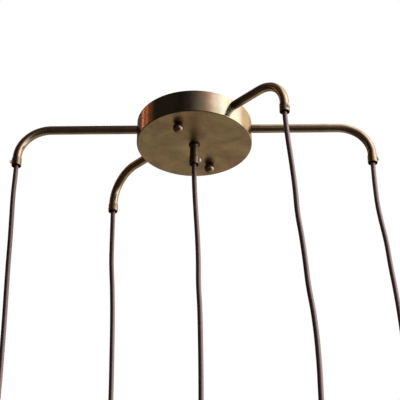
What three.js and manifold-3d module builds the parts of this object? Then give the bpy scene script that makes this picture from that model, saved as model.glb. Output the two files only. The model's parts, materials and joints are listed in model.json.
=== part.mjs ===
// Cluster pendant lamp: a drum canopy, four bent tube arms, a short centre stem and five cord pendants.
// Millimetres, +Z up. The origin is the middle of the crossbar's ceiling face, and the lamp hangs below it.
// The two long arms lie along X, and -Y is the side that faces a viewer.
import * as THREE from 'three';
import { mergeVertices } from 'three/addons/utils/BufferGeometryUtils.js';
import Module from 'manifold-3d';

const wasm = await Module();
wasm.setup();

// Driving dimensions: canopy
const canopyDiameter = 133;
const canopyHeight = 28.5;
const canopyWall = 1.2;
const canopyCornerRadius = 1.2;

// Driving dimensions: arms and stem
const tubeDiameter = 10;
const tubeBore = 7;
const neckDiameter = 8.4;
const neckInnerLength = 7;
const armAxisDrop = 6.5;
const bendRadius = 38;
const tubeTail = 0.8;
const longReach = 204;
const shortReach = 142;
const stemWasherDiameter = 13;
const stemWasherThickness = 1.6;

// Driving dimensions: cord grip at the end of each tube, with its set screw
const gripDiameter = 11.2;
const gripLength = 10.4;
const gripEdge = 0.5;
const gripSpigotLength = 3.6;
const gripSpigotWall = 0.7;
const gripMouthDiameter = 8.8;
const gripMouthDepth = 3.1;
const setScrewHeight = 6.2;
const setScrewShank = 2.8;
const setScrewHead = 4.6;
const setScrewHeadLength = 2.4;

// Driving dimensions: fastenings
const lockNutAcrossFlats = 12;
const lockNutThickness = 3;
const ballNutDiameter = 12;
const ballNutFlat = 7;
const ballNutDepth = 7.5;
const studDiameter = 4.2;
const studSpacing = 89;
const studAzimuth = 67.5;
const studNutAcrossFlats = 7.9;
const studNutThickness = 3;
const boxScrewDiameter = 4.2;
const boxScrewHead = 8.2;
const boxScrewHeadLength = 2.6;
const boxScrewReach = 7;
const boxSlotLength = 8;
const boxScrewGap = 0.94;

// Driving dimensions: crossbar and junction block
const crossbarLength = 112;
const crossbarWidth = 20;
const crossbarThickness = 2;
const blockLength = 36;
const blockWidth = 20;
const blockHeight = 14;
const blockEdge = 1.5;
const blockScrewOffset = 12;
const blockScrewDiameter = 3.2;
const blockScrewHead = 6;
const blockScrewHeadLength = 2.2;
const groundScrewOffset = 23.6;
const groundScrewDiameter = 3.6;
const groundScrewHead = 6.8;
const groundScrewHeadLength = 2.4;

// Driving dimensions: cords and lampholders
const cordDiameter = 5.6;
const holderDrop = 420;
const cordInsertion = 6;
const capNeckDiameter = 11.5;
const capNeckLength = 9;
const capNeckEdge = 0.6;
const capDiameter = 36;
const capDomeHeight = 15;
const capSkirtLength = 7;
const sheetWall = 0.9;
const shellLength = 34;
const shellFlare = 0.8;
const shellLip = 2.2;
const shellLap = 5;
const coreTopThickness = 9;
const coreWall = 2.6;
const coreRecess = 2;
const coreShoulder = 2;

// Clearances between neighbours
const seatGap = 0.3;
const boreGap = 0.3;
const cordGap = 0.3;

// Facet counts
const canopySides = 64;
const tubeSides = 16;
const boreSides = 10;
const cordSides = 8;
const bendSteps = 9;
const turnedSides = 18;
const screwSides = 12;

// Levels and radii that follow from the driving dimensions
const canopyRadius = canopyDiameter / 2;
const canopyFloor = -canopyHeight + canopyWall;
const bendEnd = -armAxisDrop - bendRadius;
const tubeEnd = bendEnd - tubeTail;
const gripTop = tubeEnd - seatGap;
const mouthLevel = gripTop - gripLength;
const cordRadius = cordDiameter / 2;
const leadBottom = mouthLevel + cordRadius + cordGap;
const gripBore = cordDiameter + 2 * cordGap;
const gripSpigot = gripBore + 2 * gripSpigotWall;
const crossbarUnderside = -crossbarThickness;
const studNutCorner = studNutAcrossFlats / Math.sqrt(3);
const boxScrewOffset = studSpacing / 2 - studNutCorner - boxScrewGap - boxScrewHead / 2;
const blockTop = crossbarUnderside - seatGap;
const blockBottom = blockTop - blockHeight;
const stemWasherTop = -canopyHeight - seatGap;
const stemTop = stemWasherTop - stemWasherThickness - seatGap;

const radians = THREE.MathUtils.degToRad;

const finishes = {
  canopyBrass: { color: 0x75603f, roughness: 0.45, metalness: 1 },
  tubeBrass: { color: 0x54412f, roughness: 0.35, metalness: 1 },
  gripBrass: { color: 0x5c4833, roughness: 0.35, metalness: 1 },
  ballBrass: { color: 0x7a6038, roughness: 0.3, metalness: 1 },
  zincSteel: { color: 0xaeb0b2, roughness: 0.4, metalness: 1 },
  greenSteel: { color: 0x2f7a45, roughness: 0.45, metalness: 0.6 },
  porcelain: { color: 0xe9e4da, roughness: 0.3, metalness: 0 },
  nylon: { color: 0xd8d6d2, roughness: 0.35, metalness: 0 },
  cordCloth: { color: 0x3a2e2c, roughness: 0.9, metalness: 0 },
  leadCloth: { color: 0x3a2e2c, roughness: 0.9, metalness: 0 },
};

// A geometry as a solid: position only, shared vertices merged and faces without area dropped
function solid(geometry) {
  geometry.deleteAttribute('normal');
  geometry.deleteAttribute('uv');
  const merged = mergeVertices(geometry, 1e-4);
  const corners = merged.index.array;
  const kept = [];
  for (let i = 0; i < corners.length; i += 3) {
    const [a, b, c] = [corners[i], corners[i + 1], corners[i + 2]];
    if (a !== b && b !== c && c !== a) kept.push(a, b, c);
  }
  return new wasm.Manifold(new wasm.Mesh({
    numProp: 3,
    vertProperties: new Float32Array(merged.attributes.position.array),
    triVerts: new Uint32Array(kept),
  }));
}

// A solid as a geometry again
function geometryOf(body) {
  const mesh = body.getMesh();
  const geometry = new THREE.BufferGeometry();
  geometry.setAttribute('position', new THREE.BufferAttribute(new Float32Array(mesh.vertProperties), 3));
  geometry.setIndex(new THREE.BufferAttribute(new Uint32Array(mesh.triVerts), 1));
  return geometry;
}

// A named sub-part in its finish
function part(name, body, finish) {
  const mesh = new THREE.Mesh(geometryOf(body), new THREE.MeshStandardMaterial(finish));
  mesh.name = name;
  return mesh;
}

// A turned piece about Z; its outline is radius and height pairs, counter-clockwise
function turned(outline, sides) {
  const points = outline.map(([radius, height]) => new THREE.Vector2(radius, height));
  const geometry = new THREE.LatheGeometry(points, sides);
  geometry.rotateX(Math.PI / 2);
  return solid(geometry);
}

// A plain round rod from one height to another
function rod(diameter, low, high, sides = screwSides) {
  return turned([[0, low], [diameter / 2, low], [diameter / 2, high], [0, high]], sides);
}

// A ring from one height to another
function ring(outer, inner, low, high, sides) {
  const [r, b] = [outer / 2, inner / 2];
  return turned([[b, low], [r, low], [r, high], [b, high], [b, low]], sides);
}

// A solid moved to its place, turned first about Z or laid along a direction
function placed(body, matrix) {
  return solid(geometryOf(body).applyMatrix4(matrix));
}

const moved = (x, y, z) => new THREE.Matrix4().makeTranslation(x, y, z);
const turnedAboutZ = (degrees) => new THREE.Matrix4().makeRotationZ(radians(degrees));
// Z turned onto X, for pieces that lie along an arm
const alongX = new THREE.Matrix4().makeRotationY(Math.PI / 2);
const onArmAxis = moved(0, 0, -armAxisDrop).multiply(alongX);

// A curve whose even steps fall on its own stations, each a place and a direction
class StationRoute extends THREE.Curve {
  constructor(stations) {
    super();
    this.stations = stations;
  }
  station(t) {
    return this.stations[Math.round(t * (this.stations.length - 1))];
  }
  getUtoTmapping(u) {
    return u;
  }
  getPoint(t, target = new THREE.Vector3()) {
    return target.copy(this.station(t).place);
  }
  getTangent(t, target = new THREE.Vector3()) {
    return target.copy(this.station(t).direction);
  }
}

// A round bar swept along a route
function swept(diameter, sides, route, steps) {
  const section = new THREE.Shape();
  for (let k = 0; k < sides; k++) {
    const angle = (2 * Math.PI * k) / sides;
    const corner = [diameter / 2 * Math.cos(angle), diameter / 2 * Math.sin(angle)];
    if (k === 0) section.moveTo(...corner);
    else section.lineTo(...corner);
  }
  return solid(new THREE.ExtrudeGeometry(section, { steps, extrudePath: route }));
}

// A flat outline given a thickness, from zero upwards
function extruded(outline, depth, curveSegments = 6) {
  return solid(new THREE.ExtrudeGeometry(outline, { depth, bevelEnabled: false, curveSegments }));
}

// The route of an arm: straight out from one radius, round the bend, and down to a level
function armRoute(innerRadius, reach, endLevel) {
  const outward = new THREE.Vector3(1, 0, 0);
  const stations = [{ place: new THREE.Vector3(innerRadius, 0, -armAxisDrop), direction: outward }];
  const bendStart = reach - bendRadius;
  for (let k = 0; k <= bendSteps; k++) {
    const angle = (Math.PI / 2 * k) / bendSteps;
    const [c, s] = [Math.cos(angle), Math.sin(angle)];
    const place = new THREE.Vector3(bendStart + bendRadius * s, 0, -armAxisDrop - bendRadius * (1 - c));
    stations.push({ place, direction: new THREE.Vector3(c, 0, -s) });
  }
  const down = new THREE.Vector3(0, 0, -1);
  stations.push({ place: new THREE.Vector3(reach, 0, endLevel), direction: down });
  return new StationRoute(stations);
}

function sweptArm(diameter, sides, innerRadius, reach, endLevel) {
  const route = armRoute(innerRadius, reach, endLevel);
  return swept(diameter, sides, route, route.stations.length - 1);
}

// Canopy: a spun drum, open at the ceiling, with a small rounded bottom edge
function canopyShell() {
  const [r, w, c] = [canopyRadius, canopyWall, canopyCornerRadius];
  const outline = [[0, -canopyHeight]];
  for (const angle of [0, 30, 60, 90]) {
    const [x, z] = [Math.sin(radians(angle)), Math.cos(radians(angle))];
    outline.push([r - c + c * x, -canopyHeight + c - c * z]);
  }
  outline.push([r, 0], [r - w, 0], [r - w, canopyFloor], [0, canopyFloor]);
  let shell = turned(outline, canopySides);
  const neckHole = neckDiameter + 2 * boreGap;
  const sideHole = rod(neckHole, canopyRadius - 3 * canopyWall, canopyRadius + canopyWall, tubeSides);
  for (const { azimuth } of arms) {
    shell = shell.subtract(placed(sideHole, turnedAboutZ(azimuth).multiply(onArmAxis)));
  }
  const through = [-canopyHeight - canopyWall, canopyFloor + canopyWall];
  shell = shell.subtract(rod(neckHole, ...through, tubeSides));
  for (const side of [1, -1]) {
    const hole = rod(studDiameter + 2 * boreGap, ...through);
    shell = shell.subtract(placed(hole, onCrossbar(side * studSpacing / 2)));
  }
  return shell;
}

// A place along the crossbar, measured from the middle
function onCrossbar(along) {
  return turnedAboutZ(studAzimuth).multiply(moved(along, 0, 0));
}

// Crossbar: a flat strap with two stud holes, two slots for the box screws and two small screw holes
function crossbar() {
  const [half, r] = [crossbarLength / 2, crossbarWidth / 2];
  const strap = new THREE.Shape();
  strap.absarc(half - r, 0, r, -Math.PI / 2, Math.PI / 2, false);
  strap.absarc(-half + r, 0, r, Math.PI / 2, 3 * Math.PI / 2, false);
  const hole = (along, diameter) => {
    strap.holes.push(new THREE.Path().absarc(along, 0, diameter / 2 + boreGap, 0, 2 * Math.PI, true));
  };
  hole(studSpacing / 2, studDiameter);
  hole(-studSpacing / 2, studDiameter);
  hole(blockScrewOffset, blockScrewDiameter);
  hole(-groundScrewOffset, groundScrewDiameter);
  for (const side of [1, -1]) {
    const slotRadius = boxScrewDiameter / 2 + boreGap;
    const [middle, run] = [side * boxScrewOffset, boxSlotLength / 2 - slotRadius];
    const slot = new THREE.Path();
    slot.absarc(middle - run, 0, slotRadius, -Math.PI / 2, Math.PI / 2, true);
    slot.absarc(middle + run, 0, slotRadius, Math.PI / 2, -Math.PI / 2, true);
    strap.holes.push(slot);
  }
  const place = turnedAboutZ(studAzimuth).multiply(moved(0, 0, -crossbarThickness));
  return placed(extruded(strap, crossbarThickness, 4), place);
}

// A hexagon nut between two heights; a flat faces the given azimuth
function hexNut(acrossFlats, bore, low, high) {
  const outline = new THREE.Shape();
  const cornerRadius = acrossFlats / Math.sqrt(3);
  for (let k = 0; k < 6; k++) {
    const angle = radians(60 * k + 30);
    const corner = [cornerRadius * Math.cos(angle), cornerRadius * Math.sin(angle)];
    if (k === 0) outline.moveTo(...corner);
    else outline.lineTo(...corner);
  }
  outline.holes.push(new THREE.Path().absarc(0, 0, bore / 2, 0, 2 * Math.PI, true));
  return placed(extruded(outline, high - low), moved(0, 0, low));
}

// A pan head screw driven upwards: its head hangs below the seat and its shank ends at the tip
function panScrew(shank, head, headLength, seat, tip) {
  const [r, h] = [shank / 2, head / 2];
  const low = seat - headLength;
  const pan = [[0, low], [0.7 * h, low], [h, low + 0.45 * headLength], [h, seat]];
  return turned([...pan, [r, seat], [r, tip], [0, tip]], screwSides);
}

// A tube with a turned-down neck, bored through and opened out for the grip's spigot
function boredTube(outer, neck, bore, counterbore) {
  return outer.add(neck).subtract(bore).subtract(counterbore);
}

function spigotSeat() {
  return rod(gripSpigot + 2 * boreGap, tubeEnd - 1, tubeEnd + gripSpigotLength + boreGap, tubeSides);
}

function armTube(reach) {
  const shoulder = canopyRadius + seatGap;
  const outer = sweptArm(tubeDiameter, tubeSides, shoulder, reach, tubeEnd);
  const neckEnd = canopyRadius - canopyWall - neckInnerLength;
  const neck = placed(rod(neckDiameter, neckEnd, shoulder + 1, tubeSides), onArmAxis);
  const bore = sweptArm(tubeBore, boreSides, neckEnd - 1, reach, tubeEnd - 1);
  return boredTube(outer, neck, bore, placed(spigotSeat(), moved(reach, 0, 0)));
}

function stemTube() {
  const outer = rod(tubeDiameter, tubeEnd, stemTop, tubeSides);
  const neckEnd = canopyFloor + neckInnerLength;
  const neck = rod(neckDiameter, stemTop - 1, neckEnd, tubeSides);
  const bore = rod(tubeBore, tubeEnd - 1, neckEnd + 1, boreSides);
  return boredTube(outer, neck, bore, spigotSeat());
}

// Cord grip: a turned sleeve with a spigot up into the tube and a wide dark mouth below
function cordGrip(outward) {
  const [r, b, m] = [gripDiameter / 2, gripBore / 2, gripMouthDiameter / 2];
  const mouthTop = mouthLevel + gripMouthDepth;
  const [s, spigotTop] = [gripSpigot / 2, gripTop + gripSpigotLength];
  const sleeve = turned([
    [m, mouthLevel], [r - gripEdge, mouthLevel], [r, mouthLevel + gripEdge], [r, gripTop],
    [s, gripTop], [s, spigotTop], [b, spigotTop], [b, mouthTop], [m, mouthTop], [m, mouthLevel],
  ], turnedSides);
  const hole = rod(setScrewShank + 2 * boreGap, b - 1, r + 1);
  return sleeve.subtract(placed(hole, setScrewPlace(outward)));
}

function setScrewPlace(outward) {
  return turnedAboutZ(outward).multiply(moved(0, 0, mouthLevel + setScrewHeight)).multiply(alongX);
}

// Set screw: a domed nylon screw in the grip's side, its tip just short of the cord inside
function setScrew(outward) {
  const [tip, seat] = [cordRadius + cordGap, gripDiameter / 2 + seatGap];
  const [r, h, l] = [setScrewShank / 2, setScrewHead / 2, setScrewHeadLength];
  const top = seat + l;
  const dome = [[h, seat + 0.5 * l], [0.8 * h, seat + 0.85 * l], [0.4 * h, top]];
  const screw = turned([[0, tip], [r, tip], [r, seat], [h, seat], ...dome, [0, top]], screwSides);
  return placed(screw, setScrewPlace(outward));
}

// Ball nut: a ball with a flat seat against the canopy and a blind hole for the stud
function ballNut() {
  const r = ballNutDiameter / 2;
  const seat = -canopyHeight - seatGap;
  const centre = seat - Math.sqrt(r * r - ballNutFlat * ballNutFlat / 4);
  const steps = 8;
  const top = Math.asin((seat - centre) / r);
  const outline = [];
  for (let k = 0; k <= steps; k++) {
    const angle = -Math.PI / 2 + (top + Math.PI / 2) * k / steps;
    outline.push([k === 0 ? 0 : r * Math.cos(angle), centre + r * Math.sin(angle)]);
  }
  outline.push([0, seat]);
  const bore = rod(studDiameter + 2 * boreGap, seat - ballNutDepth - boreGap, seat + 1);
  return turned(outline, turnedSides).subtract(bore);
}

// Stud: a threaded rod from the crossbar down through the canopy into its ball nut
const stud = () => rod(studDiameter, -canopyHeight - seatGap - ballNutDepth, 0);

// Junction block under the crossbar, where the five leads end
function junctionBlock() {
  const [a, b, e] = [blockLength / 2, blockWidth / 2, blockEdge];
  const corners = [
    [a, b - e], [a - e, b], [-a + e, b], [-a, b - e], [-a, -b + e], [-a + e, -b], [a - e, -b], [a, -b + e],
  ];
  const outline = new THREE.Shape(corners.map(([x, y]) => new THREE.Vector2(x, y)));
  const screwHole = blockScrewDiameter / 2 + boreGap;
  outline.holes.push(new THREE.Path().absarc(blockScrewOffset, 0, screwHole, 0, 2 * Math.PI, true));
  return placed(extruded(outline, blockHeight), turnedAboutZ(studAzimuth).multiply(moved(0, 0, blockBottom)));
}

// How far from the axis a lead at this azimuth ends, so that its square end clears the block's long side
function leadEndRadius(azimuth) {
  const slant = radians(azimuth - (studAzimuth - 90));
  const facing = Math.abs(Math.cos(slant));
  return (blockWidth / 2 + cordGap + cordRadius * Math.abs(Math.sin(slant))) / facing;
}

// Cord pendants: each route is the cord's sway along X at depths below its exit, as the cord hangs
const arms = [
  { place: 'left', azimuth: 180, reach: longReach },
  { place: 'right', azimuth: 0, reach: longReach },
  { place: 'near', azimuth: -45, reach: shortReach },
  { place: 'far', azimuth: 135, reach: shortReach },
];

const sways = {
  left: [
    [14, -0.2], [40, -0.6], [70, 0], [100, 0.6], [132, 0.9], [162, 1.5], [191, 2.1], [240, 2.8], [300, 3],
    [340, 3],
  ],
  right: [
    [12, 0.1], [42, 1], [58, 2], [74, 3.9], [105, 8.3], [135, 10.9], [165, 14], [198, 16.6], [250, 19],
    [300, 20], [340, 20],
  ],
  near: [
    [12, 0.6], [37, 2.6], [68, 5.6], [98, 8], [128, 9.6], [156, 12.8], [184, 15.4], [212, 17.5], [248, 21.8],
    [290, 24.4], [330, 25], [345, 25],
  ],
  far: [
    [14, 0.1], [50, 0.5], [68, 0.8], [84, 1.7], [100, 2.8], [116, 3.7], [142, 4.8], [190, 6], [250, 7],
    [310, 7.2], [345, 7.2],
  ],
  centre: [
    [14, 0.1], [32, 0.7], [64, 2.4], [95, 4.2], [126, 5.4], [156, 5.8], [185, 7.2], [225, 8.2], [280, 9],
    [320, 9], [345, 9],
  ],
};

// Where a pendant's lampholder hangs, and the curve of its cord from the exit down into the cap
function pendant(exit, sway) {
  const lean = sway[sway.length - 1][1];
  const foot = new THREE.Vector3(exit.x + lean, exit.y, -holderDrop - cordInsertion);
  const points = sway.map(([depth, aside]) => new THREE.Vector3(exit.x + aside, exit.y, exit.z - depth));
  return { axis: foot, curve: new THREE.CatmullRomCurve3([exit, ...points, foot], false, 'centripetal') };
}

// Free cord: round at the top, where it turns in the grip's mouth, and square in the cap
function freeCord(exit, curve) {
  const steps = Math.round(curve.getLength() / (3 * cordDiameter));
  const stations = [];
  for (let k = 0; k <= steps; k++) {
    const end = k === 0 || k === steps;
    const direction = end ? new THREE.Vector3(0, 0, -1) : curve.getTangentAt(k / steps);
    stations.push({ place: curve.getPointAt(k / steps), direction });
  }
  const tube = swept(cordDiameter, cordSides, new StationRoute(stations), steps);
  const top = new THREE.SphereGeometry(cordRadius, cordSides, 4);
  top.rotateX(Math.PI / 2);
  return tube.add(solid(top.translate(exit.x, exit.y, exit.z)));
}

// Inner lead of an arm: from the grip's mouth, round the bend and along the tube to the block
function armLead(azimuth, reach) {
  return sweptArm(cordDiameter, cordSides, leadEndRadius(azimuth), reach, leadBottom);
}

// Lampholder cap: a spun cover with a neck for the cord, a dome and a skirt
function holderCap() {
  const [neck, r, w] = [capNeckDiameter / 2, capDiameter / 2, sheetWall];
  const neckLow = -holderDrop - capNeckLength;
  const skirtTop = neckLow - capDomeHeight;
  const low = skirtTop - capSkirtLength;
  const dome = (inset) => [90, 55, 20].map((angle) => {
    const [c, s] = [Math.cos(radians(angle)), Math.sin(radians(angle))];
    return [neck + (r - inset - neck) * c, skirtTop + (capDomeHeight - inset) * s];
  });
  const bore = gripBore / 2;
  return turned([
    [r - w, low], [r, low], [r, skirtTop], ...dome(0).reverse(), [neck, -holderDrop - capNeckEdge],
    [neck - capNeckEdge, -holderDrop], [bore, -holderDrop], [bore, neckLow - w], ...dome(w),
    [r - w, skirtTop], [r - w, low],
  ], turnedSides);
}

const capSkirtEnd = -holderDrop - capNeckLength - capDomeHeight - capSkirtLength;
const shellRadius = capDiameter / 2 - sheetWall - seatGap;
const shellTop = capSkirtEnd + shellLap;
const shellEnd = capSkirtEnd - shellLength;

// Lampholder shell: a thin sleeve lapped into the cap, with a small rolled lip at its mouth
function holderShell() {
  const [r, w, flare] = [shellRadius, sheetWall, shellFlare];
  const lip = [[0.6 * flare, 0], [flare, 0.25 * shellLip], [flare, 0.75 * shellLip], [0, shellLip]];
  return turned([
    [r - w, shellEnd], ...lip.map(([out, up]) => [r + out, shellEnd + up]), [r, shellTop], [r - w, shellTop],
    [r - w, shellEnd],
  ], turnedSides);
}

// Lampholder core: an insulating cup inside the shell, whose hollow takes the lamp's cap
const coreRadius = shellRadius - sheetWall - seatGap;
const coreTop = shellTop + coreTopThickness - shellLap;
const lampSeat = coreTop - coreTopThickness;

function holderCore() {
  const [r, b, end] = [coreRadius, coreRadius - coreWall, shellEnd + coreRecess];
  return turned([
    [0, lampSeat], [b, lampSeat], [b, end], [r, end], [r, shellTop - seatGap], [r - coreShoulder, coreTop],
    [0, coreTop],
  ], turnedSides);
}

const lamp = new THREE.Group();

lamp.add(part('crossbar', crossbar(), finishes.zincSteel));
lamp.add(part('junction_block', junctionBlock(), finishes.porcelain));
const blockScrewSeat = blockBottom - seatGap;
const blockScrew = panScrew(blockScrewDiameter, blockScrewHead, blockScrewHeadLength, blockScrewSeat, 0);
lamp.add(part('block_screw', placed(blockScrew, onCrossbar(blockScrewOffset)), finishes.zincSteel));
const groundScrew = panScrew(groundScrewDiameter, groundScrewHead, groundScrewHeadLength, blockTop, 0);
lamp.add(part('ground_screw', placed(groundScrew, onCrossbar(-groundScrewOffset)), finishes.greenSteel));

for (const [name, side] of [['far', 1], ['near', -1]]) {
  const [atStud, atBox] = [onCrossbar(side * studSpacing / 2), onCrossbar(side * boxScrewOffset)];
  const boxScrew = panScrew(boxScrewDiameter, boxScrewHead, boxScrewHeadLength, blockTop, boxScrewReach);
  const nut = hexNut(studNutAcrossFlats, studDiameter + 2 * boreGap, blockTop - studNutThickness, blockTop);
  lamp.add(part(`box_screw_${name}`, placed(boxScrew, atBox), finishes.zincSteel));
  lamp.add(part(`stud_${name}`, placed(stud(), atStud), finishes.zincSteel));
  lamp.add(part(`stud_nut_${name}`, placed(nut, atStud), finishes.zincSteel));
  lamp.add(part(`ball_nut_${name}`, placed(ballNut(), atStud), finishes.ballBrass));
}

lamp.add(part('canopy_shell', canopyShell(), finishes.canopyBrass));

const lockNutBore = neckDiameter + 2 * boreGap;
for (const { place, azimuth, reach } of arms) {
  const arm = new THREE.Group();
  arm.rotation.z = radians(azimuth);
  arm.add(part(`arm_${place}`, armTube(reach), finishes.tubeBrass));
  const nutCorner = lockNutAcrossFlats / Math.sqrt(3);
  const nutSeat = Math.sqrt((canopyRadius - canopyWall) ** 2 - nutCorner ** 2) - seatGap;
  const nut = hexNut(lockNutAcrossFlats, lockNutBore, nutSeat - lockNutThickness, nutSeat);
  arm.add(part(`lock_nut_${place}`, placed(nut, onArmAxis), finishes.zincSteel));
  arm.add(part(`lead_${place}`, armLead(azimuth, reach), finishes.leadCloth));
  lamp.add(arm);
}

const stemWasherLow = stemWasherTop - stemWasherThickness;
const stemWasher = ring(stemWasherDiameter, lockNutBore, stemWasherLow, stemWasherTop, turnedSides);
const stemNutLow = canopyFloor + seatGap;
const stemNut = hexNut(lockNutAcrossFlats, lockNutBore, stemNutLow, stemNutLow + lockNutThickness);
const stemLead = rod(cordDiameter, leadBottom, blockBottom - cordGap, cordSides);
lamp.add(part('stem_centre', stemTube(), finishes.tubeBrass));
lamp.add(part('stem_washer', stemWasher, finishes.tubeBrass));
lamp.add(part('lock_nut_centre', stemNut, finishes.zincSteel));
lamp.add(part('lead_centre', stemLead, finishes.leadCloth));

const stem = { place: 'centre', azimuth: 0, reach: 0 };
for (const { place, azimuth, reach } of [...arms, stem]) {
  const exit = new THREE.Vector3(reach, 0, mouthLevel).applyMatrix4(turnedAboutZ(azimuth));
  const { axis, curve } = pendant(exit, sways[place]);
  const atExit = moved(exit.x, exit.y, 0);
  const atHolder = moved(axis.x, axis.y, 0);
  lamp.add(part(`cord_grip_${place}`, placed(cordGrip(azimuth), atExit), finishes.gripBrass));
  lamp.add(part(`set_screw_${place}`, placed(setScrew(azimuth), atExit), finishes.nylon));
  lamp.add(part(`cord_${place}`, freeCord(exit, curve), finishes.cordCloth));
  lamp.add(part(`holder_cap_${place}`, placed(holderCap(), atHolder), finishes.ballBrass));
  lamp.add(part(`holder_shell_${place}`, placed(holderShell(), atHolder), finishes.ballBrass));
  lamp.add(part(`holder_core_${place}`, placed(holderCore(), atHolder), finishes.porcelain));
}

export default lamp;
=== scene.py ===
"""Dresses the cluster pendant lamp: aged brass canopy and arms, cloth cords, lampholders, a plain studio."""
import json
import math

import bmesh
import bpy
from bpy.props import FloatProperty, FloatVectorProperty, IntProperty, PointerProperty
from bpy.types import Operator, Panel, PropertyGroup
from mathutils import Matrix, Vector


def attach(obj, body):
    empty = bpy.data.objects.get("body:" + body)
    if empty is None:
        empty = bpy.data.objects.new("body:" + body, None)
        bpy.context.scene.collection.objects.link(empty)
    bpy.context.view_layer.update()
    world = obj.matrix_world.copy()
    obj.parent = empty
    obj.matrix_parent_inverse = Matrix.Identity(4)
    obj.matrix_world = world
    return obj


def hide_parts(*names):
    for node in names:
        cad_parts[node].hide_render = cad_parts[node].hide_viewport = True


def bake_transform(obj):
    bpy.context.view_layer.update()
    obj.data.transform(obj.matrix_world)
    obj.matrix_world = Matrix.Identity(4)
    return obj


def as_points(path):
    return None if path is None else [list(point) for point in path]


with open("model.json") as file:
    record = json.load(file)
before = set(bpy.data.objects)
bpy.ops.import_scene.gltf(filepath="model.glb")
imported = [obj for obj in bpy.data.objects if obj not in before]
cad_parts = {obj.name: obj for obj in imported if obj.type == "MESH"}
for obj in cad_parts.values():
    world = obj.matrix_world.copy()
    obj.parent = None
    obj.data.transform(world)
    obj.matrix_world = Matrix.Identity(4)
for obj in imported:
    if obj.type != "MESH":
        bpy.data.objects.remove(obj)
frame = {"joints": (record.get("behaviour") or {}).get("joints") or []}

bl_info = {
    "name": "Cluster Pendant Lamp",
    "version": (1, 0, 0),
    "blender": (4, 5, 0),
    "location": "3D View > Sidebar > Lamp",
    "description": "Builds the pieces, finishes and studio of a cluster pendant lamp on its packed solids",
    "category": "Object",
}

MM = 0.001
# Clear space between pieces that nearly touch, and the distance at which two vertices are one
GAP = 0.3 * MM
MERGED = 0.002 * MM

# Which way each arm points, in degrees from +X towards +Y
ARMS = {"left": 180, "right": 0, "near": -45, "far": 135}
LONG_ARMS = ("left", "right")
PLACES = (*ARMS, "centre")

# Where the screws sit along the crossbar, from its middle. A box screw is on either side.
BOX_SCREW = 34.9 * MM
BLOCK_SCREW = 12 * MM
GROUND_SCREW = -23.6 * MM

# The camera: place in metres, turns in degrees, lens in millimetres
CAMERA_PLACE = (0.03803, -1.30728, -0.93308)
CAMERA_HEADING = 1.362
CAMERA_LIFT = 32.376
CAMERA_ROLL = 0.292
CAMERA_LENS = 123.86

# The card with the warm boards: its middle and its size in metres, and its turn in degrees
CARD_PLACE = (-0.396, 0.124, 0.272)
CARD_SIZE = (0.35, 0.24)
CARD_TURN = 69.2

# How each cord hangs: depth below its exit and sway along X, in millimetres
CORD_SWAY = {
    "left": [(14, -0.2), (40, -0.6), (70, 0), (100, 0.6), (132, 0.9), (162, 1.5), (191, 2.1), (240, 2.8),
             (300, 3), (340, 3)],
    "right": [(12, 0.1), (42, 1), (58, 2), (74, 3.9), (105, 8.3), (135, 10.9), (165, 14), (198, 16.6),
              (250, 19), (300, 20), (340, 20)],
    "near": [(12, 0.6), (37, 2.6), (68, 5.6), (98, 8), (128, 9.6), (156, 12.8), (184, 15.4), (212, 17.5),
             (248, 21.8), (290, 24.4), (330, 25), (345, 25)],
    "far": [(14, 0.1), (50, 0.5), (68, 0.8), (84, 1.7), (100, 2.8), (116, 3.7), (142, 4.8), (190, 6),
            (250, 7), (310, 7.2), (345, 7.2)],
    "centre": [(14, 0.1), (32, 0.7), (64, 2.4), (95, 4.2), (126, 5.4), (156, 5.8), (185, 7.2), (225, 8.2),
               (280, 9), (320, 9), (345, 9)],
}

# The room as the brass reflects it, round from behind by the left, the front (-Y) and the right to behind
# again: azimuth in degrees from -Y towards +X, then the colour and strength of the glow
ROOM_ROUND = [
    (-180, "#ffede3", 0.13), (-152, "#ffede1", 0.1), (-140, "#ffe3d2", 0.17), (-128, "#ffd8c6", 0.24),
    (-116, "#ffd7c7", 0.14), (-96, "#ffd8c6", 0.08), (-84, "#fff1e3", 0.034), (-24, "#fff6eb", 0.029),
    (-9, "#fae6ff", 0.0856), (1, "#fffdfa", 0.168), (11, "#fcfff9", 0.339), (21, "#ffdcdd", 0.74),
    (31, "#ffdbde", 1.74), (41, "#fff4fc", 3.2), (51, "#e9edff", 4.17), (61, "#e8f2ff", 5.56),
    (81, "#f8f6ff", 4.92), (94, "#fafaff", 4.39), (102, "#fbfaff", 3.53), (110, "#ffdecd", 2.2),
    (121, "#fff3c8", 1.75), (135, "#fff0c7", 1.5), (151, "#ffdfc2", 0.85), (166, "#ffddc2", 0.85),
    (180, "#ffede3", 0.13)]

# The warm boards beside the lamp, as its wall reflects them: place across, colour and strength of the glow
WARM_BOARDS = [
    (0, "#4c4048", 0.3), (0.06, "#c89c78", 0.7), (0.12, "#c89c78", 0.7), (0.18, "#c07848", 0.26),
    (0.29, "#c06c44", 0.24), (0.355, "#ffa47c", 2.1), (0.4, "#ffa47c", 2.1), (0.45, "#d06434", 0.18),
    (0.61, "#d87040", 0.18), (0.645, "#ffac84", 4.4), (0.68, "#ffac84", 4.4), (0.72, "#d06434", 0.18),
    (0.8, "#d87040", 0.3), (0.9, "#c8744c", 0.35), (1, "#906050", 0.25)]

STRONGEST_GLOW = max(strength for *_, strength in ROOM_ROUND + WARM_BOARDS)


def linear(code):
    """The linear red, green and blue of an sRGB hex colour."""
    channels = [int(code[i:i + 2], 16) / 255 for i in (1, 3, 5)]
    return [c / 12.92 if c <= 0.04045 else ((c + 0.055) / 1.055) ** 2.4 for c in channels]


def measure(description, default):
    """A length setting, from its default in millimetres."""
    return FloatProperty(description=description, default=default * MM, min=0, unit="LENGTH", precision=5)


def colour(description, code):
    return FloatVectorProperty(
        description=description, default=linear(code), size=3, min=0, max=1, subtype="COLOR")


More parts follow.
